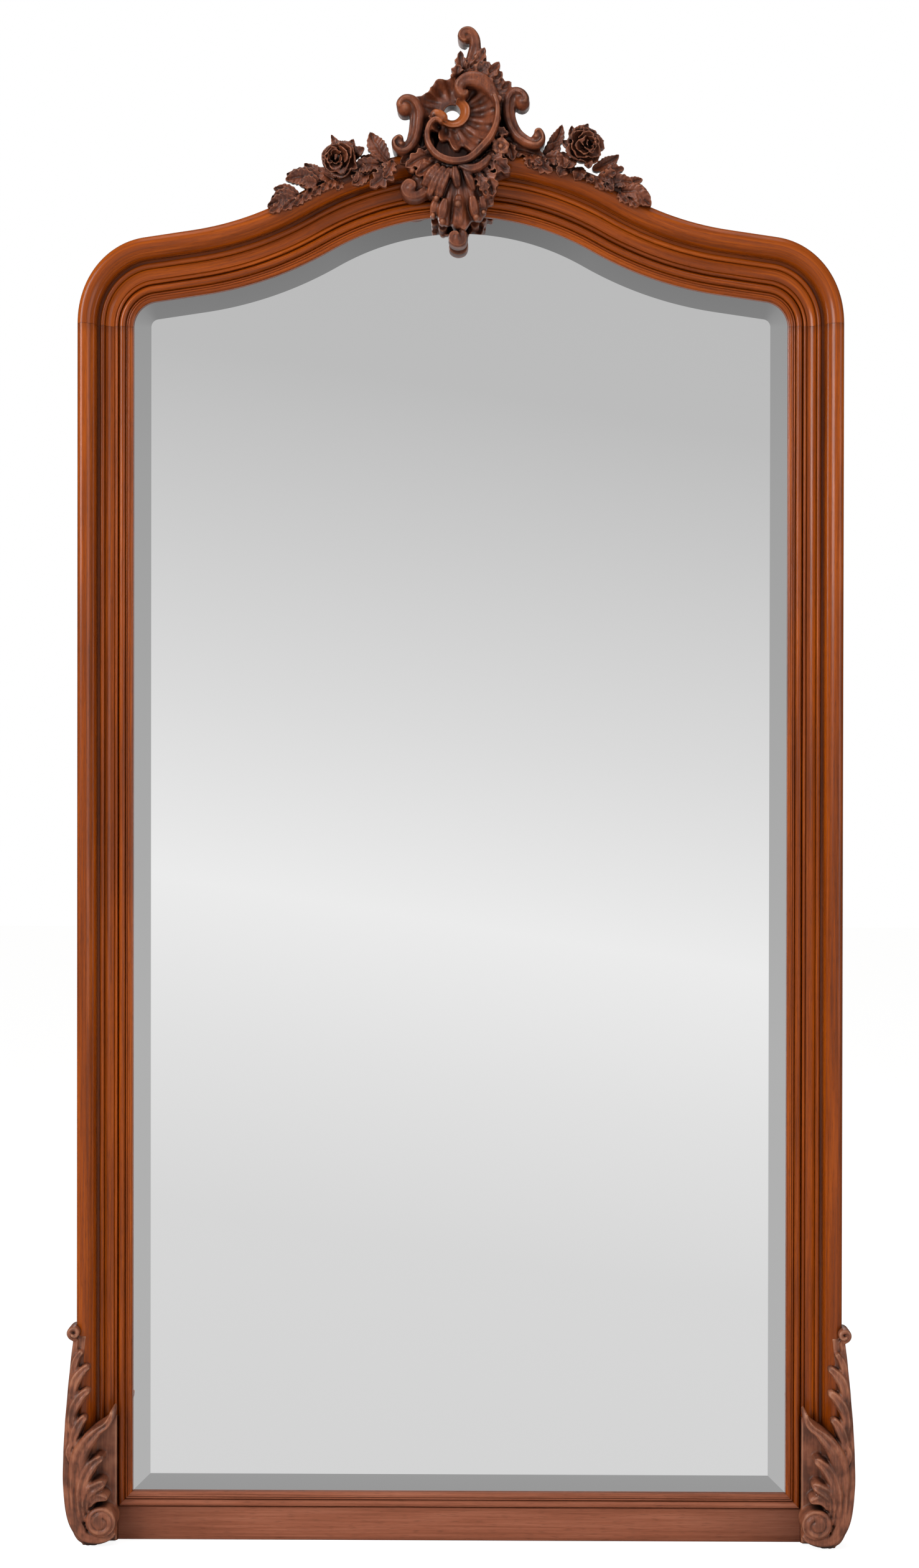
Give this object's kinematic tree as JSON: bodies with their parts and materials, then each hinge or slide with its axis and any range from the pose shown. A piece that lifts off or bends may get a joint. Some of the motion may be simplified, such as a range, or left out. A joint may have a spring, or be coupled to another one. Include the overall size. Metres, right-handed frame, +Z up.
{
  "type": "mirror",
  "caption": "Tall arched wall or overmantel mirror with a moulded walnut frame, pierced carved crest, flower garlands, acanthus feet and a bevelled plate.",
  "frame": {"origin": "middle of the bounding box's foot: the feet and the bottom rail stand on Z = 0", "axes": "+X to the right as seen from the front, +Y back to the wall, +Z up; the plate faces -Y"},
  "size_m": [1.098, 0.098, 2.1031],
  "materials": {
    "walnut": "polished red-brown walnut, satin",
    "carved_walnut": "carved dark walnut, waxed",
    "silvered_glass": "silvered bevelled plate",
    "back_wood": "plain unpolished softwood",
    "steel": "plain steel"
  },
  "bodies": {
    "root": {"left_stile": "walnut", "right_stile": "walnut", "bottom_rail": "walnut", "top_rail": "walnut", "head_dowels": "back_wood", "crest_cartouche": "carved_walnut", "crest_apron": "carved_walnut", "crest_batten": "back_wood", "batten_screws": "steel", "left_garland": "carved_walnut", "right_garland": "carved_walnut", "left_rose": "carved_walnut", "right_rose": "carved_walnut", "left_foot_carving": "carved_walnut", "right_foot_carving": "carved_walnut", "mirror_glass": "silvered_glass", "glass_blocks": "back_wood", "back_left_stile": "back_wood", "back_right_stile": "back_wood", "back_bottom_rail": "back_wood", "back_lower_rail": "back_wood", "back_upper_rail": "back_wood", "back_arch_board": "back_wood", "back_lower_muntin": "back_wood", "back_middle_muntin": "back_wood", "back_upper_muntin": "back_wood", "lower_left_panel": "back_wood", "lower_right_panel": "back_wood", "middle_left_panel": "back_wood", "middle_right_panel": "back_wood", "upper_left_panel": "back_wood", "upper_right_panel": "back_wood", "back_screws": "steel", "hanger_plates": "steel", "hanger_screws": "steel"}
  },
  "joints": []
}
